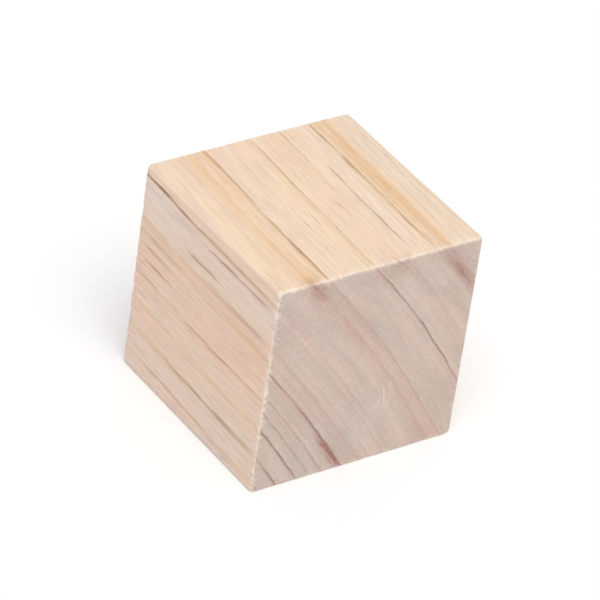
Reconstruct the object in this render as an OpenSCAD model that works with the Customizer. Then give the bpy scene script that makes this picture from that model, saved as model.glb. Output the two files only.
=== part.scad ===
// Wooden cube: a plain building and craft cube, sawn to length from a planed
// pine square and lightly eased on every edge.
//
// The grain runs along Y. The front and back faces (-Y and +Y) are the
// crosscut ends, and the other four faces are planed along the grain.
// The origin is the centre of the underside, with +Z up. Units: millimetres.

/* [Cube] */
// Side of the cube, the same along all three axes
side = 38; // [20:1:60]

/* [Edges] */
// Round on the four planed edges, which run with the grain
planed_edge_r = 0.6; // [0.3:0.1:3]
// Round on the eight sawn edges, which frame the two crosscut ends
sawn_edge_r = 0.5; // [0.3:0.1:3]
// How far the corners are rubbed back, beyond where the rounds already leave them
corner_wear = 0.25; // [0.1:0.05:1.5]

/* [Hidden] */

// Facets on a full circle in the preview; the rounds themselves are true arcs
arc_facets = 64;
corner_facets = 180;

// Each profile is drawn out past the cube, so that only its outline cuts
profile_length = 2 * side;

// Where two equal rounds of radius r meet at a corner, the solid ends this far
// short of the sharp corner, measured along the cube's diagonal
function corner_setback(r) = sqrt(3) * r * (1 - 1 / sqrt(2));

// Distance from the cube's centre to its rubbed corners
corner_reach = sqrt(3) * side / 2
    - corner_setback(max(planed_edge_r, sawn_edge_r))
    - corner_wear;

// A square of the cube's side, centred, with its four corners rounded to r
module rounded_square(r) {
    inset = side / 2 - r;
    union() {
        square([side, 2 * inset], center = true);
        square([2 * inset, side], center = true);
        for (x = [-inset, inset], y = [-inset, inset])
            translate([x, y])
                circle(r = r, $fn = arc_facets);
    }
}

// The rounded square drawn out along Z, through the centre of the cube
module rounded_prism(r) {
    linear_extrude(height = profile_length, center = true)
        rounded_square(r);
}

// The cube about its own centre: what the three views' outlines and the ball
// that blunts the corners have in common
module eased_cube() {
    intersection() {
        // Seen from the end: the planed square that the cube is cut from
        rotate([90, 0, 0]) rounded_prism(planed_edge_r);
        // Seen from the side: the sawn edges that run across
        rotate([0, 90, 0]) rounded_prism(sawn_edge_r);
        // Seen from above: the sawn edges that stand upright
        rounded_prism(sawn_edge_r);
        sphere(r = corner_reach, $fn = corner_facets);
    }
}

module wooden_cube() {
    color([0.94, 0.84, 0.71])
        translate([0, 0, side / 2])
            eased_cube();
}

wooden_cube();
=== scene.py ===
"""Looks of the wooden cube: one sawn and eased block of pine on a plain white table.

The block is cut from a log whose growth rings are named one by one, and every face is a cut
through that log, so a ring that meets an edge goes on over the next face. Lengths are in
millimetres, except where a docstring gives metres. The finished mesh is in metres, in the part's
own frame.
"""

import logging
import math
from dataclasses import dataclass, replace
from enum import Enum

import bpy
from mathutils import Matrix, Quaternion, Vector


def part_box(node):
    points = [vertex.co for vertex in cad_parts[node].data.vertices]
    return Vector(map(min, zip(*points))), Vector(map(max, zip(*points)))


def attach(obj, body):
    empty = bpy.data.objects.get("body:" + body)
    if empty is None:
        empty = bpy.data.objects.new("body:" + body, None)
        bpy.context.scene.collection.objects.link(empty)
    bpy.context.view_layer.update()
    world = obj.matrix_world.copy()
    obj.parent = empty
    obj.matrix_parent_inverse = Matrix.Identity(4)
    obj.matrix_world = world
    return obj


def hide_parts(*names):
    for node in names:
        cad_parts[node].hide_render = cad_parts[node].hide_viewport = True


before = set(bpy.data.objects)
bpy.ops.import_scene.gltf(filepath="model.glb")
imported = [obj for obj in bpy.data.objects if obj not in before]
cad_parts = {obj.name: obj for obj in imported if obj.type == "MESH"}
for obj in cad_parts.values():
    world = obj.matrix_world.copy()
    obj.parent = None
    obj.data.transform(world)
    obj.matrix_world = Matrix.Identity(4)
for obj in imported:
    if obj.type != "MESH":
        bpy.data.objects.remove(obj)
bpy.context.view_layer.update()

log = logging.getLogger("wooden_cube")

Triple = tuple[float, float, float]
Socket = bpy.types.NodeSocket
Outputs = bpy.types.NodeOutputs
Tree = bpy.types.NodeTree
Value = Socket | float | int | tuple[float, ...]
Patterns = dict[str, Socket]
Weights = tuple[tuple[str, float], ...]

MM = 1000.0  # Millimetres in a metre
ORIGIN: Triple = (0.0, 0.0, 0.0)
ACROSS: Triple = (1.0, 0.0, 1.0)  # Keeps what a vector has across the grain
WHITE = (1.0, 1.0, 1.0, 1.0)


class Easing(Enum):
    """How a ramp passes from its low end to its high end."""

    STRAIGHT = "LINEAR"
    SOFT = "SMOOTHSTEP"


class Tint(Enum):
    """The colours that lie over the early wood, as a screen shows them."""

    HONEY = "EFCFA4"
    LATE = "E8B980"
    EDGE = "92653F"
    RESIN = "A06B42"
    STAIN = "A16A5A"
    END_LATE = "C8A199"
    END_EDGE = "7E5B53"
    END_RAY = "EADBCB"
    END_DULL = "C9BFB5"
    # Pale fuzz of the fibres, which is also a painted highlight on the edges and torn chips
    FUZZ_AND_HIGHLIGHT = "FCF0E0"


@dataclass(frozen=True)
class Span:
    """How a pattern's values are stretched, softly at both ends.

    Attributes:
        low: Value of the pattern at which the result is start.
        high: Value of the pattern at which the result is stop.
        start: Result at and below low.
        stop: Result at and above high.
    """

    low: float
    high: float
    start: float = 0.0
    stop: float = 1.0


@dataclass(frozen=True)
class Cloud:
    """A cloudy pattern, whose own values run from 0 to 1 and are mostly about a half.

    Attributes:
        size: Size of a cloud along each axis of the place.
        detail: How many finer layers are added.
        seed: Which of the endless patterns it is.
        span: How its values are stretched, if they are.
        crispness: How strong each finer layer is, as a share of the one before.
    """

    size: Triple
    detail: int
    seed: Value
    span: Span | None = None
    crispness: float = 0.5


def colour(code: str) -> tuple[float, float, float, float]:
    """Turns a colour code into the linear values that a socket takes.

    Args:
        code: Six hexadecimal digits: red, green and blue as a screen shows them.

    Returns:
        Red, green, blue and alpha.
    """
    shown = [int(code[i : i + 2], 16) / 255 for i in (0, 2, 4)]
    return (*((c / 12.92 if c < 0.04045 else ((c + 0.055) / 1.055) ** 2.4) for c in shown), 1.0)


def add_node(tree: Tree, kind: str, *values: Value, **settings: object) -> bpy.types.Node:
    """Adds one node to a tree.

    Args:
        tree: The shader or geometry tree; both know the same maths nodes.
        kind: The node's type name.
        values: What goes into its inputs, in order.
        settings: Properties of the node, by name.

    Returns:
        The new node.
    """
    made = tree.nodes.new(kind)
    for name, value in settings.items():
        setattr(made, name, value)
    for socket, value in zip(made.inputs, values):
        feed(socket, value)
    return made


def link_node(kind: str, *values: Value, **settings: object) -> bpy.types.Node:
    """Adds one node to the tree that the first socket among its values is in."""
    tree = next(value.id_data for value in values if isinstance(value, Socket))
    return add_node(tree, kind, *values, **settings)


def own_node(tree: Tree, kind: str) -> bpy.types.Node:
    """Gives the node of one kind that a new tree already holds."""
    return next(node for node in tree.nodes if node.type == kind)


def opening(tree: Tree, way: str, label: str, kind: str) -> bpy.types.NodeTreeInterfaceSocket:
    """Gives a tree itself one more named INPUT or OUTPUT."""
    return tree.interface.new_socket(label, in_out=way, socket_type=f"NodeSocket{kind}")


def feed(socket: Socket, value: Value) -> None:
    """Links an output to a socket, or sets the socket's own value.

    Args:
        socket: The input to fill.
        value: Another node's output, or a constant.
    """
    if isinstance(value, Socket):
        socket.id_data.links.new(value, socket)
    else:
        socket.default_value = value


def fill(node: bpy.types.Node, values: dict[str, Value]) -> bpy.types.Node:
    """Feeds several of a node's inputs.

    Args:
        node: The node.
        values: What goes into its inputs, by their names.

    Returns:
        The same node.
    """
    for name, value in values.items():
        feed(node.inputs[name], value)
    return node


def number(operation: str, *values: Value, clamp: bool = False) -> Socket:
    """Works out one sum with numbers: a Math node's operation, and its inputs in order."""
    return link_node("ShaderNodeMath", *values, operation=operation, use_clamp=clamp).outputs[0]


def times(first: Value, second: Value, clamp: bool = False) -> Socket:
    """Multiplies two numbers."""
    return number("MULTIPLY", first, second, clamp=clamp)


def vector(operation: str, *values: Value) -> Socket:
    """Works out one sum with vectors: a Vector Math node's operation, and its inputs in order."""
    made = link_node("ShaderNodeVectorMath", *values, operation=operation)
    return made.outputs["Value" if operation in ("LENGTH", "DOT_PRODUCT") else "Vector"]


def scaled(base: Socket, factor: Value) -> Socket:
    """Multiplies a vector or a colour by a number."""
    return vector("SCALE", base, ORIGIN, ORIGIN, factor)


def parts(whole: Socket) -> tuple[Socket, ...]:
    """Splits a vector into its X, Y and Z."""
    return tuple(link_node("ShaderNodeSeparateXYZ", whole).outputs)


def join(x: Value, y: Value, z: Value) -> Socket:
    """Makes a vector of three numbers."""
    return link_node("ShaderNodeCombineXYZ", x, y, z).outputs[0]


def ramp(
    value: Value,
    low: Value,
    high: Value,
    start: Value = 0.0,
    stop: Value = 1.0,
    way: Easing = Easing.SOFT,
) -> Socket:
    """Takes a value from start to stop as it goes from low to high, and no further."""
    inputs = (value, low, high, start, stop)
    return link_node("ShaderNodeMapRange", *inputs, interpolation_type=way.value).outputs[0]


def stretch(value: Socket, span: Span | None) -> Socket:
    """Stretches a pattern's values, if there is a span to stretch them by."""
    return value if span is None else ramp(value, span.low, span.high, span.start, span.stop)


def noise(place: Socket, look: Cloud) -> bpy.types.Node:
    """Adds the noise node that a cloudy pattern is read from."""
    inverse = vector("MULTIPLY", place, tuple(1 / length for length in look.size))
    inputs = (inverse, look.seed, 1.0, look.detail, look.crispness)
    return link_node("ShaderNodeTexNoise", *inputs, noise_dimensions="4D")


def cloud(place: Socket, look: Cloud) -> Socket:
    """Gives a cloudy pattern, read at a place in millimetres."""
    return stretch(noise(place, look).outputs["Fac"], look.span)


def swing(place: Socket, look: Cloud) -> Socket:
    """Gives a cloudy pattern that swings about nought, by up to a half each way."""
    return number("SUBTRACT", cloud(place, look), 0.5)


def weigh(start: Value, patterns: Patterns, weights: Weights) -> Value:
    """Adds some patterns to a value, each times its own weight.

    Args:
        start: The value that they are added to.
        patterns: The patterns, by name.
        weights: Names and weights.

    Returns:
        The total.
    """
    for name, weight in weights:
        start = number("MULTIPLY_ADD", patterns[name], weight, start)
    return start


def blend(factor: Socket, first: Value, second: Value) -> Socket:
    """Mixes two colours.

    Args:
        factor: Share of the second colour.
        first: The colour at 0.
        second: The colour at 1.

    Returns:
        The mixed colour's socket.
    """
    made = link_node("ShaderNodeMix", factor, data_type="RGBA")
    inputs = {socket.identifier: socket for socket in made.inputs}
    feed(inputs["A_Color"], first)
    feed(inputs["B_Color"], second)
    return next(socket for socket in made.outputs if socket.identifier == "Result_Color")


@dataclass(frozen=True)
class Ring:
    """One year's late wood, as far as it shows.

    The wood darkens slowly towards the ring's outer edge and ends there in a sharp line.

    Attributes:
        edge: Depth of the sharp outer edge, from the block's inmost corner.
        fade: Width over which the wood darkens towards the edge.
        line: Strength of the sharp line on the planed faces.
        band: Strength of the darkened wood on the planed faces.
        end_line: Strength of the sharp line on the sawn ends.
        end_band: Strength of the darkened wood on the sawn ends.
        width: Width of the sharp line.
        drop: Width over which the wood turns pale again beyond the edge.
        front: Where its full line begins, from the middle towards the back.
        back: Where its full line ends.
        rest: Share of the line that shows before and after that.
    """

    edge: float
    fade: float
    line: float
    band: float
    end_line: float
    end_band: float
    width: float = 0.35
    drop: float = 0.2
    front: float = -60.0
    back: float = 60.0
    rest: float = 0.0


@dataclass(frozen=True)
class Patch:
    """A patch of another colour that follows a ring, such as a stain of resin.

    Attributes:
        middle: Its middle in the log: depth, way back and way round.
        reach: Its half lengths in the same three directions.
        strength: How strong its colour is.
    """

    middle: Triple
    reach: Triple
    strength: float


@dataclass(frozen=True)
class PineLog:
    """The log that the block is cut from: its middle, its lean and its growth rings.

    A place in the log is given as depth outwards, way back along the grain and way round.

    Attributes:
        turn: Direction from the log's middle to the block, in degrees above +X.
        radius: Distance from the log's middle to the block's inmost corner.
        lean: How far the rings move outwards for each millimetre towards the back.
        slow: How far the grain sways from straight.
        quick: Height of the small ripples in the rings.
        darkening: Power with which the wood darkens towards a ring's edge; 1 is evenly.
        fading: Half the length over which a line comes and goes along the grain.
        fringe: How ragged the patches' borders are, as a share of their half lengths.
        faded: Where a patch has faded out, in its own half lengths.
        swaying: The waves of the slow sway.
        rippling: The small ripples.
        fibres_outward: How the single fibres shift the marks outwards.
        fibres_round: How the single fibres shift the marks round the log.
        broken: Where the sharp lines are strong and weak.
        ragged: The borders of the patches.
        streaky: The streaks within the patches.
        rings: The growth rings from the inside out.
        stains: The resin stains.
        greyed: The greyed patches on the front end.
    """

    turn: float = 34.9
    radius: float = 235.0
    lean: float = 0.024
    slow: float = 0.8
    quick: float = 0.20
    darkening: float = 1.3
    fading: float = 3.0
    fringe: float = 0.8
    faded: float = 1.15
    swaying: Cloud = Cloud((24, 52, 24), 1, 3.1)
    rippling: Cloud = Cloud((3.2, 18, 3.2), 1, 7.7)
    fibres_outward: Cloud = Cloud((0.24, 5, 0.34), 2, 4.4)
    fibres_round: Cloud = Cloud((0.34, 5, 0.24), 1, 9.7)
    broken: Cloud = Cloud((4, 9, 12), 2, 2.2, Span(0.36, 0.62, 0.45, 1.10))
    ragged: Cloud = Cloud((0.6, 4, 1.2), 2, 5.9)
    streaky: Cloud = Cloud((0.45, 9, 3.5), 3, 6.2, Span(0.30, 0.70, 0.35, 1.10))
    rings: tuple[Ring, ...] = (
        Ring(1.2, 1.4, 0.26, 0.24, 0.54, 0.22, width=0.4, front=-17.0, back=12.0, rest=0.2),
        Ring(4.1, 1.4, 0.52, 0.24, 0.60, 0.26, width=0.5, front=-17.0, back=7.0, rest=0.1),
        Ring(7.2, 0.9, 0.05, 0.12, 0.64, 0.28, width=0.4),
        Ring(9.2, 1.0, 0.05, 0.12, 0.30, 0.22),
        Ring(10.4, 0.9, 0.66, 0.15, 0.08, 0.05, front=-17.0, back=3.0, rest=0.50),
        Ring(11.1, 0.7, 0.00, 0.00, 0.34, 0.18),
        Ring(12.4, 0.6, 0.42, 0.15, 0.05, 0.05, front=9.0, back=16.0),
        Ring(14.0, 2.0, 0.38, 0.22, 0.62, 0.42, width=0.5, front=9.0, back=16.0),
        Ring(15.2, 0.9, 0.42, 0.30, 0.06, 0.10, drop=0.4, front=8.0, back=16.0),
        Ring(16.7, 2.2, 0.28, 0.38, 0.06, 0.36, width=0.6, drop=0.6, front=-17.0, back=-2.0),
        Ring(18.2, 0.6, 0.70, 0.05, 0.10, 0.05, front=-3.0, back=4.5),
        Ring(20.7, 0.8, 0.58, 0.12, 0.12, 0.10, front=-15.0, back=1.0, rest=0.15),
        Ring(21.85, 0.7, 0.90, 0.20, 0.08, 0.10, width=0.45, front=-1.0, rest=0.45),
        Ring(27.9, 2.4, 0.00, 0.44, 0.06, 0.38, drop=0.9),
        Ring(30.3, 3.4, 0.55, 0.60, 0.12, 0.44, width=0.38),
        Ring(37.0, 1.6, 0.44, 0.16, 0.62, 0.24),
        Ring(41.4, 2.6, 0.38, 0.15, 0.10, 0.20, front=1.0),
        Ring(43.1, 0.5, 0.74, 0.00, 0.05, 0.00, width=0.3, front=-14.0, back=6.0),
        Ring(46.1, 0.6, 0.50, 0.10, 0.10, 0.10, width=0.3),
        Ring(47.8, 3.2, 0.00, 0.64, 0.15, 0.42, drop=2.4),
    )
    stains: tuple[Patch, ...] = (
        Patch((13.6, -19.0, -5.2), (1.2, 5.0, 6.5), 1.05),
        Patch((20.4, -15.0, 28.5), (1.2, 6.0, 3.0), 0.24),
        Patch((27.9, -19.0, 26.0), (2.0, 3.0, 4.0), 0.60),
        Patch((36.5, -19.0, -13.5), (7.0, 2.5, 9.0), 0.14),
        Patch((39.8, -19.0, 17.8), (4.6, 2.0, 3.2), 0.28),
        Patch((47.0, -19.0, 6.8), (1.3, 3.0, 7.6), 0.72),
        Patch((29.0, 19.0, -6.0), (1.2, 4.0, 4.8), 0.45),
    )
    greyed: tuple[Patch, ...] = (
        Patch((13.0, -19.0, -4.0), (15.0, 9.0, 8.0), 0.70),
        Patch((18.5, -19.0, 29.0), (9.0, 9.0, 7.0), 0.80),
    )

    def inside(self, place: Socket, corner: Value) -> Socket:
        """Turns a place in the part's frame into a place in the log.

        Args:
            place: Where it is read, in millimetres in the part's frame.
            corner: The block's inmost corner at the front.

        Returns:
            The place in the log: depth from that corner, way back, way round.
        """
        angle = math.radians(self.turn)
        outward = Vector((math.cos(angle), 0.0, math.sin(angle)))
        sideways = (-math.sin(angle), 0.0, math.cos(angle))
        waves = vector("SUBTRACT", noise(place, self.swaying).outputs["Color"], (0.5,) * 3)
        sway = vector("MULTIPLY", waves, (2 * self.slow, 0.0, 2 * self.slow))
        swayed = vector("ADD", place, sway)
        from_corner = vector("SUBTRACT", swayed, corner)
        from_pith = vector("ADD", from_corner, tuple(outward * self.radius))
        _, back, _ = parts(from_pith)
        flat = vector("MULTIPLY", from_pith, ACROSS)
        out = number("SUBTRACT", vector("LENGTH", flat), self.radius)
        depth = number("MULTIPLY_ADD", back, -self.lean, out)
        around = vector("DOT_PRODUCT", from_pith, sideways)
        ripple = swing(swayed, self.rippling)
        rippled = number("MULTIPLY_ADD", ripple, 2 * self.quick, depth)
        _, own_back, _ = parts(place)
        return join(rippled, own_back, around)

    def frayed(self, place: Socket, reach: Value) -> Socket:
        """Shifts a place in the log by the single fibres, so that no mark ends smoothly."""
        shift = join(swing(place, self.fibres_outward), 0.0, swing(place, self.fibres_round))
        return vector("ADD", place, scaled(shift, times(reach, 2.0)))

    def tally(self, place: Socket) -> tuple[Socket, ...]:
        """Adds up what all the rings show at a place.

        Args:
            place: The place in the log.

        Returns:
            Four sockets: line and band on the planed faces, then line and band on the ends.
        """
        depth, back, _ = parts(place)
        broken = cloud(place, self.broken)
        far = self.fading
        totals: list[Value] = [0.0, 0.0, 0.0, 0.0]
        for ring in self.rings:
            fall = ramp(depth, ring.edge, ring.edge + ring.drop, 1.0, 0.0)
            rise = ramp(depth, ring.edge - ring.fade, ring.edge, way=Easing.STRAIGHT)
            band = times(number("POWER", rise, self.darkening), fall)
            core = ramp(depth, ring.edge - ring.width, ring.edge)
            line = times(times(core, fall), broken)
            begun = ramp(back, ring.front - far, ring.front + far, ring.rest, 1.0)
            shown = ramp(back, ring.back - far, ring.back + far, begun, ring.rest)
            shares = (
                (times(line, shown), ring.line),
                (band, ring.band),
                (line, ring.end_line),
                (band, ring.end_band),
            )
            for index, (mark, strength) in enumerate(shares):
                totals[index] = number("MULTIPLY_ADD", mark, strength, totals[index])
        return tuple(totals)

    def patched(self, place: Socket, patches: tuple[Patch, ...]) -> Socket:
        """Adds up some patches at a place.

        Args:
            place: The place in the log.
            patches: The patches.

        Returns:
            The socket with their strength, from 0 to 1.
        """
        ragged = swing(place, self.ragged)
        total: Value = 0.0
        for patch in patches:
            away = vector("SUBTRACT", place, patch.middle)
            counted = vector("MULTIPLY", away, tuple(1 / reach for reach in patch.reach))
            off = number("MULTIPLY_ADD", ragged, self.fringe, vector("LENGTH", counted))
            spot = ramp(off, 0.0, self.faded, 1.0, 0.0)
            total = number("MULTIPLY_ADD", spot, patch.strength, total)
        return times(total, cloud(place, self.streaky), clamp=True)


@dataclass(frozen=True)
class Tearing:
    """The fibres that the saw tore out of the planed faces beside the two ends.

    Attributes:
        depth: Depth of the deepest chips.
        shortest: How far the shortest chips reach along the grain.
        further: How much further the longest ones reach.
        low_shares: Share of the full depth on the left side and on the underside.
        high_shares: Share of the full depth on the right side and on the top.
        blend: How softly a chip's floor meets the face.
        lost: Where fibres are missing.
        lengths: How long the chips are.
    """

    depth: float = 0.55
    shortest: float = 0.3
    further: float = 2.6
    low_shares: tuple[float, float] = (1.0, 0.5)
    high_shares: tuple[float, float] = (0.5, 0.6)
    blend: float = 0.14
    lost: Cloud = Cloud((0.9, 8, 0.9), 2, 4.0, Span(0.46, 0.60))
    lengths: Cloud = Cloud((0.7, 40, 0.7), 1, 5.0, Span(0.3, 0.7))

    def chips(self, centred: Socket, half: Value) -> Socket:
        """Says how deep the chips are at a place, as a share of the deepest.

        Args:
            centred: The place about the block's middle.
            half: Half the block's side.

        Returns:
            The share's socket, from 0 to 1.
        """
        _, y, _ = parts(vector("ABSOLUTE", centred))
        from_end = number("SUBTRACT", half, y)
        spread = cloud(centred, self.lengths)
        length = number("MULTIPLY_ADD", spread, self.further, self.shortest)
        near = ramp(number("DIVIDE", from_end, length), 0.0, 1.0, 1.0, 0.0)
        return times(cloud(centred, self.lost), near)


@dataclass(frozen=True)
class SawMarks:
    """The faint arcs that the round saw left on the two ends, and one rubbed spot.

    Attributes:
        centre: The saw's middle, from the block's middle.
        spacing: Distance between the ripples.
        fine: The scratches, read by distance from the saw's middle and by way along them.
        seen: Where the scratches show.
        spot: The rubbed spot on the front end, from the block's middle.
        spot_shape: How a distance from it counts in each direction.
        spot_fade: Distances over which it fades out.
        bow: How far its strokes bow sideways at a millimetre above or below it.
        strokes: Its fine strokes.
    """

    centre: Triple = (-84.0, 0.0, -96.0)
    spacing: float = 1.7
    fine: Cloud = Cloud((0.24, 1, 7), 1, 8.8, Span(0.50, 0.72))
    seen: Cloud = Cloud((6, 6, 6), 2, 7.3, Span(0.42, 0.64))
    spot: Triple = (4.2, 0.0, -7.6)
    spot_shape: Triple = (1.0, 0.0, 0.7)
    spot_fade: Span = Span(0.8, 3.6, 1.0, 0.0)
    bow: float = 0.09
    strokes: Cloud = Cloud((0.45, 1, 4), 1, 0.0, Span(0.46, 0.66))

    def radius(self, centred: Socket) -> Socket:
        """Gives the distance of a place about the block's middle from the saw's middle."""
        away = vector("SUBTRACT", centred, self.centre)
        return vector("LENGTH", vector("MULTIPLY", away, ACROSS))

    def ripple(self, centred: Socket) -> Socket:
        """Gives the saw's ripples, from 0 in the hollows to 1 on the crests."""
        turns = times(self.radius(centred), math.tau / self.spacing)
        return number("MULTIPLY_ADD", number("SINE", turns), 0.5, 0.5)

    def scratches(self, centred: Socket) -> Socket:
        """Gives the finer scratches between the ripples, which come and go, from 0 to 1."""
        along = join(self.radius(centred), 0.0, parts(centred)[0])
        return times(cloud(along, self.fine), cloud(centred, self.seen))

    def scuff(self, centred: Socket) -> Socket:
        """Gives the rubbed spot on the front end, with its fine curved strokes.

        Args:
            centred: The place about the block's middle.

        Returns:
            The spot's socket, from 0 to 1.
        """
        away = vector("SUBTRACT", centred, self.spot)
        x, y, z = parts(away)
        bowed = number("MULTIPLY_ADD", times(z, z), self.bow, x)
        strokes = cloud(join(bowed, 0.0, z), self.strokes)
        off = vector("LENGTH", vector("MULTIPLY", away, self.spot_shape))
        spot = times(strokes, stretch(off, self.spot_fade))
        return times(spot, number("LESS_THAN", y, 0.0))


@dataclass(frozen=True)
class Grain:
    """What lies between the rings.

    Attributes:
        frayed: The patterns whose borders the single fibres break up, by name.
        plain: The other patterns, by name.
        crowds: Where the resin canals crowd.
        canals: The single resin canals.
    """

    frayed: tuple[tuple[str, Cloud], ...] = (
        ("Tone", Cloud((5.5, 24, 7), 2, 4.9)),
        ("Drift", Cloud((2.6, 60, 14), 2, 8.1)),
        ("Layer", Cloud((0.55, 75, 11), 2, 6.6)),
        ("Streak", Cloud((1.0, 30, 2.6), 4, 1.3, crispness=0.60)),
    )
    plain: tuple[tuple[str, Cloud], ...] = (
        ("Mottle", Cloud((0.55, 4.5, 0.75), 2, 9.1)),
        ("Fibre", Cloud((0.28, 9, 0.50), 4, 2.6, crispness=0.62)),
        ("Ray", Cloud((3.2, 1.1, 0.20), 2, 3.8)),
        ("Pore", Cloud((0.22, 0.9, 0.22), 3, 1.9, crispness=0.70)),
    )
    crowds: Cloud = Cloud((5, 22, 5), 1, 8.4, Span(0.44, 0.66))
    canals: Cloud = Cloud((0.22, 4.6, 0.26), 0, 5.2, Span(0.68, 0.80))


@dataclass(frozen=True)
class EdgeFuzzAndHighlight:
    """Where the faces meet, and how wide the eased edges look.

    Attributes:
        planed: Width of the pale line, fuzz and painted highlight, on the edges along the grain.
        sawn: Width of the pale line, fuzz and painted highlight, on the sawn edges.
        corner: Where the pale line is full round a corner: where that begins and is full, from the
            outside.
        turning: Where a planed face turns into an end, in millimetres past their meeting.
        ragged: How the widths vary.
        patchy: Where the lines come and go.
    """

    planed: float = 0.5
    sawn: float = 0.8
    corner: tuple[float, float] = (1.7, 0.5)
    turning: Span = Span(-0.08, 0.12)
    ragged: Cloud = Cloud((0.9, 3.0, 0.9), 2, 6.1, Span(0.3, 0.7, 0.35, 1.5))
    patchy: Cloud = Cloud((5, 5, 5), 2, 2.7, Span(0.38, 0.60, 0.25, 1.0))


class Groups:
    """The shader effects that the finish is made of, each built once as a node group."""

    def __init__(self, timber: PineLog, tearing: Tearing, saw: SawMarks, side: float) -> None:
        """Builds the groups.

        Args:
            timber: The log that the block is cut from.
            tearing: The chips beside the sawn ends.
            saw: The saw's marks on the ends.
            side: Side of the block.
        """
        half = side / 2
        self.rings = self._rings(timber, half)
        self.fibres = self._fibres(Grain())
        self.faces = self._faces(EdgeFuzzAndHighlight(), half)
        self.handling = self._handling(tearing, saw, half)

    @staticmethod
    def _open(name: str, inputs: dict[str, float | Triple]) -> Outputs:
        """Starts a shader group.

        Args:
            name: Name of the group.
            inputs: First values of its inputs, by name; three numbers make it a vector.

        Returns:
            The sockets at which its inputs come in.
        """
        tree = bpy.data.node_groups.new(name, "ShaderNodeTree")
        for label, value in inputs.items():
            kind = "Vector" if isinstance(value, tuple) else "Float"
            opening(tree, "INPUT", label, kind).default_value = value
        return add_node(tree, "NodeGroupInput").outputs

    @staticmethod
    def _close(outputs: Patterns) -> Tree:
        """Gives a shader group its outputs.

        Args:
            outputs: What it puts out, by name.

        Returns:
            The finished group.
        """
        tree = next(iter(outputs.values())).id_data
        for label, value in outputs.items():
            opening(tree, "OUTPUT", label, "Vector" if value.type == "VECTOR" else "Float")
        fill(add_node(tree, "NodeGroupOutput"), outputs)
        return tree

    def _rings(self, timber: PineLog, half: float) -> Tree:
        """Builds the group that says what the growth rings show at a place.

        Args:
            timber: The log that the block is cut from.
            half: Half the side of the block.

        Returns:
            The group: a place and how far the fibres fray in; four ring marks, the stains, the
            greyed patches, the depth, the log place and the frayed log place out.
        """
        given = self._open("Growth rings", {"Place": ORIGIN, "Fraying": 0.4})
        inside = timber.inside(given["Place"], (-half, -half, 0.0))
        frayed = timber.frayed(inside, given["Fraying"])
        names = ("Planed Line", "Planed Band", "End Line", "End Band")
        found = dict(zip(names, timber.tally(frayed)))
        found["Stain"] = timber.patched(frayed, timber.stains)
        found["Greyed"] = timber.patched(frayed, timber.greyed)
        found["Depth"], _, _ = parts(frayed)
        return self._close(found | {"Log Place": inside, "Frayed Place": frayed})

    def _fibres(self, grain: Grain) -> Tree:
        """Builds the group for what lies between the rings.

        Args:
            grain: The patterns.

        Returns:
            The group: a place in the log and its frayed place in; clouds, slow changes from ring
            to ring, layers, streaks, mottling, fibres, rays, pores and resin canals out.
        """
        given = self._open("Wood fibres", {"Place": ORIGIN, "Frayed": ORIGIN})
        place = given["Place"]
        found = {name: cloud(given["Frayed"], look) for name, look in grain.frayed}
        found |= {name: cloud(place, look) for name, look in grain.plain}
        crowd = cloud(place, grain.crowds)
        found["Canal"] = times(crowd, cloud(place, grain.canals))
        return self._close(found)

    def _faces(self, pale_edges: EdgeFuzzAndHighlight, half: float) -> Tree:
        """Builds the group that tells the faces and the eased edges of the block apart.

        Args:
            pale_edges: How wide the edges' pale lines of fuzz and painted highlight are.
            half: Half the side of the block.

        Returns:
            The group: a place and two widths in; the ends, and fuzz and painted highlight on both
                kinds of edge, out.
        """
        widths = {"Planed Width": pale_edges.planed, "Sawn Width": pale_edges.sawn}
        given = self._open("Block faces", {"Place": ORIGIN, **widths})
        place = given["Place"]
        centred = vector("SUBTRACT", place, (0.0, 0.0, half))
        x, y, z = parts(vector("ABSOLUTE", centred))
        most = number("MAXIMUM", x, z)
        least = number("MINIMUM", x, z)
        begun, full = pale_edges.corner
        corner = ramp(number("MINIMUM", least, y), half - begun, half - full)
        patchy = number("MAXIMUM", cloud(place, pale_edges.patchy), corner)
        ragged = cloud(place, pale_edges.ragged)
        found = {"End": stretch(number("SUBTRACT", y, most), pale_edges.turning)}
        # Pale lines on the eased edges, full at the corners: fuzz of the fibres and a painted
        # highlight
        for name, off in (("Planed", least), ("Sawn", number("MINIMUM", most, y))):
            width = times(given[f"{name} Width"], ragged)
            eased = ramp(off, number("SUBTRACT", half, width), half)
            found[f"{name} Edge"] = times(eased, patchy)
        return self._close(found)

    def _handling(self, tearing: Tearing, saw: SawMarks, half: float) -> Tree:
        """Builds the group for what the tools left behind.

        Args:
            tearing: The chips beside the sawn ends.
            saw: The saw's marks on the ends.
            half: Half the side of the block.

        Returns:
            The group: a place in; torn chips, saw scratches and scuffs out.
        """
        given = self._open("Tool marks", {"Place": ORIGIN})
        centred = vector("SUBTRACT", given["Place"], (0.0, 0.0, half))
        found = {
            "Torn": tearing.chips(centred, half),
            "Scratch": saw.scratches(centred),
            "Scuff": saw.scuff(centred),
        }
        return self._close(found)


@dataclass(frozen=True)
class Years:
    """The early wood of some years in a row on the planed faces.

    Attributes:
        start: Depth at which they begin.
        plain: Their plain colour's code.
        cloud: Their clouds' colour's code.
    """

    start: float
    plain: str
    cloud: str


@dataclass(frozen=True)
class Mark:
    """A colour that a pattern lays over the wood.

    Attributes:
        pattern: Name of the pattern.
        share: How much of the colour shows where the pattern is strong.
        tint: The colour.
        span: How the pattern's values are stretched, if they are.
    """

    pattern: str
    share: float
    tint: Tint
    span: Span | None = None


@dataclass(frozen=True)
class Cut:
    """How the wood looks where it is cut one way.

    Attributes:
        bands: How the rings' darkened wood varies with the streaks.
        marks: The colours that lie over the early wood, the lowest first.
        shades: Share of light that each pattern adds or takes.
        relief: Height of each pattern.
    """

    bands: Span
    marks: tuple[Mark, ...]
    shades: Weights
    relief: Weights


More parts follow.
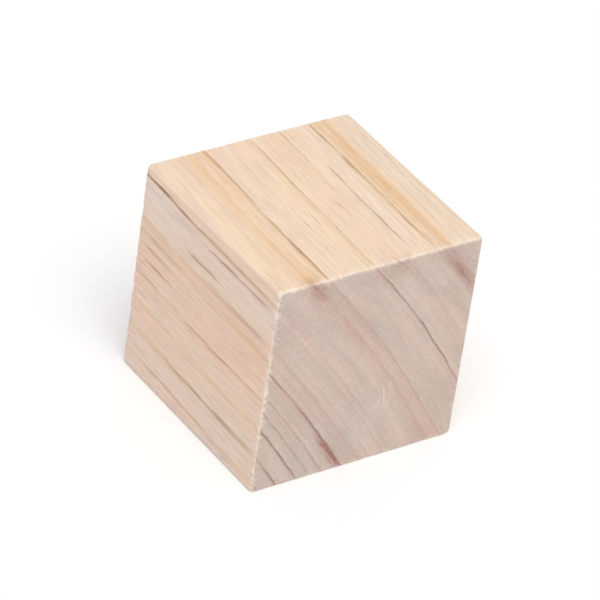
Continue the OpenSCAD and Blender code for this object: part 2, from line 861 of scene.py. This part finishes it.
@dataclass(frozen=True)
class PineFinish:
    """Bare pine: four planed faces with the grain and two sawn ends across it.

    Attributes:
        fraying: How far the fibres shift the marks on planed faces and on ends.
        years: The colours of the planed faces' early wood from the inside out.
        year_step: Half the depth over which one year's colour passes into the next's.
        year_sway: How far the streaks shift those borders.
        year_clouds: Where the early wood's clouds show on the planed faces.
        layered: How the darkened wood of the planed faces varies with the layers.
        end_pale: Code of the ends' early wood's colour.
        end_grey: Code of its greyer colour.
        end_clouds: Where the greyer colour shows on the ends.
        end_core: Share of it near the log's middle, by depth.
        planed: The planed faces.
        sawn: The sawn ends.
        stains_fuzz_and_highlights: What lies over both: stains, pale fuzz, painted highlight.
        dulling: How the roughness varies with the streaks.
        gloss: How strongly the bare wood reflects.
    """

    fraying: Span = Span(0.0, 1.0, 0.42, 0.10)
    years: tuple[Years, ...] = (
        Years(-9.0, "EBD7C9", "EED3C5"),
        Years(5.4, "F1D6C3", "F3D1BD"),
        Years(13.4, "F0D5C4", "F0CEBB"),
        Years(16.3, "F1DED1", "F1D9CA"),
        Years(21.2, "F4D8C3", "F3D4C0"),
        Years(24.0, "F6DEC2", "F2D6BF"),
        Years(43.5, "F3DFCA", "F3DBC5"),
        Years(50.0, "EFDAC5", "F0D8C2"),
    )
    year_step: float = 0.9
    year_sway: float = 6.0
    year_clouds: Span = Span(0.36, 0.64)
    layered: Span = Span(0.32, 0.58, 0.60, 1.05)
    end_pale: str = "DFC7BB"
    end_grey: str = "D0C0B2"
    end_clouds: Span = Span(0.32, 0.68)
    end_core: Span = Span(2.0, 14.0, 0.5, 0.0)
    planed: Cut = Cut(
        bands=Span(0.34, 0.62, 0.50, 1.15),
        marks=(
            Mark("Layer", 0.28, Tint.HONEY, Span(0.44, 0.70)),
            Mark("Streak", 0.30, Tint.HONEY, Span(0.54, 0.74)),
            Mark("Planed Band", 1.0, Tint.LATE),
            Mark("Planed Line", 1.0, Tint.EDGE),
            Mark("Canal", 0.32, Tint.RESIN),
            Mark("Fibre", 0.20, Tint.EDGE, Span(0.54, 0.68)),
        ),
        shades=(("Mottle", 0.18), ("Fibre", 0.68)),
        relief=(("Fibre", 0.014), ("Streak", 0.030), ("Canal", -0.020)),
    )
    sawn: Cut = Cut(
        bands=Span(0.34, 0.62, 0.75, 1.10),
        marks=(
            Mark("Tone", 0.16, Tint.END_LATE, Span(0.46, 0.66)),
            Mark("Layer", 0.20, Tint.END_LATE, Span(0.40, 0.68)),
            Mark("Greyed", 1.0, Tint.END_DULL),
            Mark("End Band", 1.0, Tint.END_LATE),
            Mark("End Line", 1.0, Tint.END_EDGE),
            Mark("Canal", 0.30, Tint.RESIN),
            Mark("Ray", 0.22, Tint.END_RAY, Span(0.52, 0.74)),
            Mark("Scratch", 0.24, Tint.END_RAY),
            Mark("Scuff", 0.60, Tint.END_RAY),
        ),
        shades=(("Mottle", 0.20), ("Pore", 0.50)),
        relief=(("Pore", 0.020), ("Ray", 0.010), ("Scratch", -0.010)),
    )
    # Stains, then pale fuzz on the edges and torn chips, which is partly a painted highlight
    stains_fuzz_and_highlights: tuple[Mark, ...] = (
        Mark("Stain", 1.0, Tint.STAIN),
        Mark("Planed Edge", 0.08, Tint.FUZZ_AND_HIGHLIGHT),
        Mark("Sawn Edge", 0.75, Tint.FUZZ_AND_HIGHLIGHT),
        Mark("Torn", 0.55, Tint.FUZZ_AND_HIGHLIGHT),
    )
    dulling: Span = Span(0.3, 0.7, 0.56, 0.68)
    gloss: float = 0.30

    def material(self, groups: Groups) -> bpy.types.Material:
        """Builds the material.

        Args:
            groups: The shared shader effects.

        Returns:
            The finished material.
        """
        made = bpy.data.materials.new("bare_pine")
        made.use_nodes = True
        patterns = self._patterns(made.node_tree, groups)
        planed = self._dressed(self._year_wood(patterns), patterns, self.planed)
        sawn = self._dressed(self._end_wood(patterns), patterns, self.sawn)
        body = blend(patterns["End"], planed, sawn)
        heights = (weigh(0.0, patterns, cut.relief) for cut in (self.planed, self.sawn))
        height = ramp(patterns["End"], 0.0, 1.0, *heights, Easing.STRAIGHT)
        relief = {"Distance": 1 / MM, "Strength": 1.0, "Height": height}
        bump = fill(add_node(made.node_tree, "ShaderNodeBump"), relief)
        look = {
            "Base Color": self._marked(body, patterns, self.stains_fuzz_and_highlights),
            "Roughness": stretch(patterns["Streak"], self.dulling),
            "Specular IOR Level": self.gloss,
            "Normal": bump.outputs["Normal"],
        }
        fill(own_node(made.node_tree, "BSDF_PRINCIPLED"), look)
        return made

    def _patterns(self, tree: Tree, groups: Groups) -> Patterns:
        """Places the shared effects in the material.

        Args:
            tree: The material's node tree.
            groups: The shared shader effects.

        Returns:
            All that they put out, by name.
        """
        own = add_node(tree, "ShaderNodeTexCoord").outputs["Object"]
        place = scaled(own, MM)
        found = self._effect(groups.faces, place) | self._effect(groups.handling, place)
        fraying = stretch(found["End"], self.fraying)
        found |= self._effect(groups.rings, place, fraying)
        found |= self._effect(groups.fibres, found["Log Place"], found["Frayed Place"])

        planed = stretch(found["Streak"], self.planed.bands)
        layered = stretch(found["Layer"], self.layered)
        varied = {
            "Planed Band": times(planed, layered),
            "End Band": stretch(found["Streak"], self.sawn.bands),
            "Torn": number("SUBTRACT", 1.0, found["End"]),
        }
        for name, share in varied.items():
            found[name] = times(found[name], share)
        return found

    @staticmethod
    def _effect(group: Tree, *inputs: Socket) -> Patterns:
        """Places one shared effect in the material: its inputs in order in, by name out."""
        return dict(link_node("ShaderNodeGroup", *inputs, node_tree=group).outputs.items())

    def _year_wood(self, patterns: Patterns) -> Value:
        """Colours the early wood of the planed faces year by year.

        Args:
            patterns: What the shared effects put out.

        Returns:
            The colour.
        """
        clouds = stretch(patterns["Tone"], self.year_clouds)
        uneven = number("SUBTRACT", patterns["Streak"], 0.5)
        depth = number("MULTIPLY_ADD", uneven, self.year_sway, patterns["Depth"])
        made: Value = colour("000000")
        for years in self.years:
            begins, ends = years.start - self.year_step, years.start + self.year_step
            own = blend(clouds, colour(years.plain), colour(years.cloud))
            made = blend(ramp(depth, begins, ends), made, own)
        return made

    def _end_wood(self, patterns: Patterns) -> Socket:
        """Colours the early wood of the sawn ends, greyer near the log's middle and in clouds.

        Args:
            patterns: What the shared effects put out.

        Returns:
            The colour's socket.
        """
        core = stretch(patterns["Depth"], self.end_core)
        greyer = number("ADD", core, stretch(patterns["Drift"], self.end_clouds), clamp=True)
        return blend(greyer, colour(self.end_pale), colour(self.end_grey))

    def _dressed(self, base: Value, patterns: Patterns, cut: Cut) -> Socket:
        """Lays the marks of one cut over its early wood, and shades it."""
        middle = 1.0 - sum(share for _, share in cut.shades) / 2
        return scaled(self._marked(base, patterns, cut.marks), weigh(middle, patterns, cut.shades))

    @staticmethod
    def _marked(base: Value, patterns: Patterns, marks: tuple[Mark, ...]) -> Value:
        """Lays marks over a colour, one after another.

        Args:
            base: The colour.
            patterns: What the shared effects put out.
            marks: The marks, the lowest first.

        Returns:
            The marked colour.
        """
        for mark in marks:
            strong = stretch(patterns[mark.pattern], mark.span)
            share = times(strong, mark.share)
            base = blend(share, base, colour(mark.tint.value))
        return base


@dataclass
class EasedBlock:
    """The block itself: a cube whose edges are eased, with the marks of plane, saw and sanding.

    Attributes:
        side: Side of the cube.
        timber: The log that it is cut from.
        tearing: The chips beside the sawn ends.
        saw: The saw's marks on the ends.
        planed_round: Round on the edges that run with the grain.
        sawn_round: Round on the edges of the two sawn ends.
        corner_reach: Distance from the cube's middle to its rubbed corners.
        corner_blend: How softly the rubbed corners meet the rounds.
        cells_across: Mesh cells across the grain, on each face.
        cells_along: Mesh cells along the grain.
        crowding: How far the cells crowd towards the edges, from 0 to 1.
        waver: The waves in the rounds.
        unevenness: How much the rounds vary along an edge, as a share of their radius.
        ring_relief: Height of the hard late wood above the rest.
        line_hardness: How hard a ring's line counts on the planed faces and on the ends.
        end_facing: How far a surface has to face an end to count as one.
        saw_relief: Depth of the saw's ripples on the ends.
        map_gap: Border left free round each face in its map, as a share of the face.
    """

    side: float
    timber: PineLog
    tearing: Tearing
    saw: SawMarks
    planed_round: float = 0.6
    sawn_round: float = 0.5
    corner_reach: float = 32.36
    corner_blend: float = 0.25
    cells_across: int = 150
    cells_along: int = 84
    crowding: float = 0.6
    waver: Cloud = Cloud((3.4, 6.0, 3.4), 2, 4.0)
    unevenness: float = 0.28
    ring_relief: float = 0.035
    line_hardness: tuple[float, float] = (0.6, 0.7)
    end_facing: Span = Span(0.4, 0.9)
    saw_relief: float = 0.020
    map_gap: float = 0.012

    def build(self, finish: bpy.types.Material) -> bpy.types.Object:
        """Builds the block as one closed mesh.

        Args:
            finish: Its material.

        Returns:
            The finished object.
        """
        names = (
            "side planed_round sawn_round corner_reach cells_across cells_along unevenness "
            "ring_relief saw_relief"
        )
        given = {name.replace("_", " ").title(): getattr(self, name) for name in names.split()}
        given |= {"Tear Depth": self.tearing.depth, "Seed": self.waver.seed, "Finish": finish}
        tree = self._tree(given)
        block = bpy.data.objects.new("pine_block", bpy.data.meshes.new("pine_block_start"))
        bpy.context.scene.collection.objects.link(block)
        shaping = block.modifiers.new("Shaping", "NODES")
        shaping.node_group = tree
        for item in tree.interface.items_tree:
            if item.in_out == "INPUT":
                shaping[item.identifier] = given[item.name]
        graph = bpy.context.evaluated_depsgraph_get()
        shaped = bpy.data.meshes.new_from_object(
            block.evaluated_get(graph), preserve_all_data_layers=True, depsgraph=graph
        )
        block.modifiers.remove(shaping)
        block.data = shaped
        shaped.name = "pine_block"
        return block

    def _tree(self, inputs: dict[str, object]) -> Tree:
        """Builds the geometry tree that shapes the block.

        Args:
            inputs: What will go into its inputs, by their names.

        Returns:
            The tree.
        """
        tree = bpy.data.node_groups.new("Shape the block", "GeometryNodeTree")
        for name, value in inputs.items():
            whole_or_not = "Int" if isinstance(value, int) else "Float"
            opening(tree, "INPUT", name, "Material" if name == "Finish" else whole_or_not)
        opening(tree, "OUTPUT", "Block", "Geometry")
        given = add_node(tree, "NodeGroupInput").outputs
        across = number("ADD", given["Cells Across"], 1)
        along = number("ADD", given["Cells Along"], 1)
        cube = add_node(tree, "GeometryNodeMeshCube", (2.0,) * 3, across, along, across)
        spread = self._crowded(tree)
        mesh = self._bake_map(cube.outputs["Mesh"], spread)
        moved = link_node("GeometryNodeSetPosition", mesh)
        feed(moved.inputs["Position"], self._surface(given, spread))
        mesh = link_node("GeometryNodeSetShadeSmooth", moved.outputs[0]).outputs[0]
        mesh = link_node("GeometryNodeRealizeInstances", mesh).outputs[0]
        dressed = link_node("GeometryNodeSetMaterial", mesh)
        feed(dressed.inputs["Material"], given["Finish"])
        link_node("NodeGroupOutput", dressed.outputs[0])
        return tree

    def _crowded(self, tree: Tree) -> Socket:
        """Moves the cube's even grid so that its cells crowd towards the edges.

        Args:
            tree: The geometry tree.

        Returns:
            Each point's place on a cube from -1 to 1.
        """
        even = add_node(tree, "GeometryNodeInputPosition").outputs[0]
        bowed = vector("SINE", scaled(even, math.pi / 2))
        kept = scaled(even, 1.0 - self.crowding)
        return vector("ADD", kept, scaled(bowed, self.crowding))

    def _bake_map(self, mesh: Socket, spread: Socket) -> Socket:
        """Gives each face of the block its own sixth of a map, three across and two up.

        Args:
            mesh: The cube's mesh.
            spread: Each point's place on a cube from -1 to 1.

        Returns:
            The mesh with the map.
        """
        normal = add_node(mesh.id_data, "GeometryNodeInputNormal").outputs[0]
        by_face = {"data_type": "FLOAT_VECTOR", "domain": "FACE"}
        facing = link_node("GeometryNodeFieldOnDomain", normal, **by_face).outputs[0]
        to_x, to_y, to_z = parts(facing)
        _, off_y, off_z = parts(vector("ABSOLUTE", facing))
        x, y, z = parts(vector("MULTIPLY_ADD", spread, (0.5,) * 3, (0.5,) * 3))
        ends = times(x, off_y)
        with_grain = number("MULTIPLY_ADD", y, number("SUBTRACT", 1.0, off_y), ends)
        up = times(z, number("SUBTRACT", 1.0, off_z))
        over = number("MULTIPLY_ADD", x, off_z, up)
        column = number("MULTIPLY_ADD", off_y, 2.0, off_z)
        signed = number("ADD", number("ADD", to_x, to_y), to_z)
        row = number("MULTIPLY_ADD", signed, 0.5, 0.5)
        tiled = []
        for tile, within, count in ((column, with_grain, 3.0), (row, over, 2.0)):
            inset = number("MULTIPLY_ADD", within, 1 - 2 * self.map_gap, self.map_gap)
            tiled.append(number("DIVIDE", number("ADD", tile, inset), count))
        flat = {"data_type": "FLOAT2", "domain": "CORNER"}
        stored = link_node("GeometryNodeStoreNamedAttribute", mesh, **flat)
        return fill(stored, {"Name": "OFBake", "Value": join(*tiled, 0.0)}).outputs[0]

    def _surface(self, given: Outputs, spread: Socket) -> Socket:
        """Works out where each point of the block's surface lies.

        Args:
            given: The tree's named inputs.
            spread: Each point's place on a cube from -1 to 1.

        Returns:
            The place's socket, in metres in the part's frame.
        """
        half = number("DIVIDE", given["Side"], 2.0)
        sharp = scaled(spread, half)

        # The rounds: a smaller core, with the surface one radius outside it
        _, y, _ = parts(vector("ABSOLUTE", sharp))
        widest = number("MAXIMUM", given["Planed Round"], given["Sawn Round"])
        near_end = ramp(y, number("SUBTRACT", half, widest), half)
        radius = ramp(near_end, 0.0, 1.0, given["Planed Round"], given["Sawn Round"])
        waver = swing(sharp, replace(self.waver, seed=given["Seed"]))
        uneven = times(times(waver, 2.0), given["Unevenness"])
        radius = times(radius, number("ADD", uneven, 1.0))
        inner = number("SUBTRACT", half, radius)
        outer = times(inner, -1.0)
        core = vector("MINIMUM", sharp, join(inner, inner, inner))
        core = vector("MAXIMUM", core, join(outer, outer, outer))
        facing = vector("NORMALIZE", vector("SUBTRACT", sharp, core))
        eased = vector("ADD", core, scaled(facing, radius))

        # The corners, rubbed back to one reach
        length = vector("LENGTH", eased)
        reach = number("SMOOTH_MIN", length, given["Corner Reach"], self.corner_blend)
        blunted = scaled(eased, number("DIVIDE", reach, length))

        torn = self._torn(given, blunted, half)
        depth = self._worked(given, torn, facing, half)
        worked = vector("SUBTRACT", torn, scaled(facing, depth))
        raised = vector("ADD", worked, join(0.0, 0.0, half))
        return scaled(raised, 1 / MM)

    def _torn(self, given: Outputs, place: Socket, half: Socket) -> Socket:
        """Tears fibres out of the planed faces where the saw came through.

        Args:
            given: The tree's named inputs.
            place: Each point's place about the block's middle.
            half: Half the block's side.

        Returns:
            The place's socket, with the torn fibres gone.
        """
        x, y, z = parts(place)
        chips = self.tearing.chips(place, half)
        torn = times(chips, given["Tear Depth"])
        soft = self.tearing.blend
        sides = []
        for value, low, high in zip((x, z), self.tearing.low_shares, self.tearing.high_shares):
            sign = number("SIGN", value)
            share = ramp(sign, -1.0, 1.0, low, high)
            limit = number("SUBTRACT", half, times(torn, share))
            limit = number("ADD", limit, soft)
            size = number("SMOOTH_MIN", number("ABSOLUTE", value), limit, soft)
            sides.append(times(size, sign))
        return join(sides[0], y, sides[1])

    def _worked(self, given: Outputs, place: Socket, facing: Socket, half: Socket) -> Socket:
        """Works out how deep plane, saw and sanding went, always inwards.

        Args:
            given: The tree's named inputs.
            place: Each point's place about the block's middle.
            facing: Which way the surface faces.
            half: Half the block's side.

        Returns:
            The depth's socket.
        """
        own = vector("ADD", place, join(0.0, 0.0, half))
        minus = times(half, -1.0)
        inside = self.timber.inside(own, join(minus, minus, 0.0))
        planed_line, planed_band, end_line, end_band = self.timber.tally(inside)
        _, off, _ = parts(vector("ABSOLUTE", facing))
        end = stretch(off, self.end_facing)
        planed_share, end_share = self.line_hardness
        hard = number("MULTIPLY_ADD", planed_line, planed_share, planed_band, clamp=True)
        hard_end = number("MULTIPLY_ADD", end_line, end_share, end_band, clamp=True)
        ridge = ramp(end, 0.0, 1.0, hard, hard_end)
        hollow = times(number("SUBTRACT", 1.0, ridge), given["Ring Relief"])
        ripple = times(self.saw.ripple(place), end)
        return number("MULTIPLY_ADD", ripple, given["Saw Relief"], hollow)


@dataclass(frozen=True)
class Softbox:
    """One very large, far studio lamp, whose white light is the same all over the table.

    Attributes:
        name: Its name.
        toward: Direction from the block to the lamp.
        strength: Its strength, in watts for each square metre that it lights.
        spread: How wide it looks from the block, in degrees.
    """

    name: str
    toward: Triple
    strength: float
    spread: float

    def place(self) -> None:
        """Puts the lamp in the scene."""
        data = bpy.data.lights.new(self.name, "SUN")
        data.energy = self.strength
        data.angle = math.radians(self.spread)
        lamp = bpy.data.objects.new(self.name, data)
        lamp.rotation_mode = "QUATERNION"
        lamp.rotation_quaternion = Vector(self.toward).to_track_quat("Z", "Y")
        bpy.context.scene.collection.objects.link(lamp)


@dataclass
class Studio:
    """The table, the light and the camera.

    Attributes:
        low: Lowest corner of the block, in metres.
        high: Highest corner of the block, in metres.
        azimuth: The camera's direction round the block, in degrees; 0 looks along +Y.
        elevation: The camera's height above the horizon, in degrees.
        roll: How far the camera is turned about its own axis, in degrees.
        stand_off: The camera's distance, in sides of the block.
        lens: Focal length on a frame 36 mm wide.
        view_end: How far the camera sees, in sides of the block.
        table_radius: Radius of the table, in metres.
        table_rim: Straight edges round the table.
        table_colour: Colour of the table.
        table_roughness: How dull the table is.
        table_glow: How much whiter the table looks to the camera alone.
        sky: Strength of the even light from all round.
        lamps: The soft lamps.
    """

    low: Vector
    high: Vector
    azimuth: float = -38.4
    elevation: float = 34.7
    roll: float = 8.6
    stand_off: float = 19.5
    lens: float = 283.0
    view_end: float = 400.0
    table_radius: float = 6.0
    table_rim: int = 96
    table_colour: tuple[float, float, float, float] = (0.90, 0.90, 0.90, 1.0)
    table_roughness: float = 0.9
    table_glow: float = 0.12
    sky: float = 0.58
    lamps: tuple[Softbox, ...] = (Softbox("key", (-0.09, -0.18, 0.40), 1.45, 38.0),)

    def table(self) -> bpy.types.Object:
        """Builds the round white table top, which keeps the block's shadow.

        Returns:
            The table.
        """
        rim = {"vertices": self.table_rim, "radius": self.table_radius, "fill_type": "NGON"}
        bpy.ops.mesh.primitive_circle_add(location=(0, 0, self.low.z), **rim)
        top = bpy.context.active_object
        top.name = "table"
        made = bpy.data.materials.new("white_table")
        made.use_nodes = True
        tree = made.node_tree
        seen = add_node(tree, "ShaderNodeLightPath").outputs["Is Camera Ray"]
        look = {
            "Base Color": self.table_colour,
            "Roughness": self.table_roughness,
            "Specular IOR Level": 0.0,
            "Emission Color": WHITE,
            "Emission Strength": times(seen, self.table_glow),
        }
        fill(own_node(tree, "BSDF_PRINCIPLED"), look)
        top.data.materials.append(made)
        return top

    def light(self) -> None:
        """Lights the block with an even white sky and the soft lamps."""
        world = bpy.data.worlds.new("studio")
        bpy.context.scene.world = world
        world.use_nodes = True
        path = add_node(world.node_tree, "ShaderNodeLightPath").outputs
        seen = number("MAXIMUM", path["Is Camera Ray"], path["Is Glossy Ray"])
        strength = ramp(seen, 0.0, 1.0, self.sky, 1.0, Easing.STRAIGHT)
        background = own_node(world.node_tree, "BACKGROUND")
        fill(background, {"Color": WHITE, "Strength": strength})
        for lamp in self.lamps:
            lamp.place()

    def camera(self) -> None:
        """Puts up the camera."""
        turn = math.radians(self.azimuth)
        rise = math.radians(self.elevation)
        toward = Vector(
            (math.sin(turn) * math.cos(rise), -math.cos(turn) * math.cos(rise), math.sin(rise))
        )
        side = self.high.z - self.low.z
        data = bpy.data.cameras.new("camera")
        data.lens = self.lens
        data.sensor_width = 36.0
        data.clip_start = side
        data.clip_end = side * self.view_end
        eye = bpy.data.objects.new("camera", data)
        eye.location = (self.low + self.high) / 2 + toward * self.stand_off * side
        eye.rotation_mode = "QUATERNION"
        rolled = Quaternion((0, 0, 1), math.radians(self.roll))
        eye.rotation_quaternion = (-toward).to_track_quat("-Z", "Y") @ rolled
        bpy.context.scene.collection.objects.link(eye)
        bpy.context.scene.camera = eye


def main() -> None:
    """Builds the block, dresses it and sets up the studio round it."""
    low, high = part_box("wooden_cube")
    side = (high[2] - low[2]) * MM
    timber = PineLog()
    tearing = Tearing()
    saw = SawMarks()
    finish = PineFinish().material(Groups(timber, tearing, saw, side))
    block = EasedBlock(side, timber, tearing, saw).build(finish)
    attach(block, "root")
    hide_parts("wooden_cube")
    log.info("%s: %d faces, %.1f mm a side", block.name, len(block.data.polygons), side)

    studio = Studio(Vector(low), Vector(high))
    table = studio.table()
    studio.light()
    studio.camera()
    log.info("%s, %d lamps and the camera are in place", table.name, len(studio.lamps))

    bpy.context.scene.view_settings.view_transform = "Standard"
    log.info("sizes written")


if __name__ == "__main__":
    logging.basicConfig(level=logging.INFO, format="%(name)s: %(message)s")
    main()
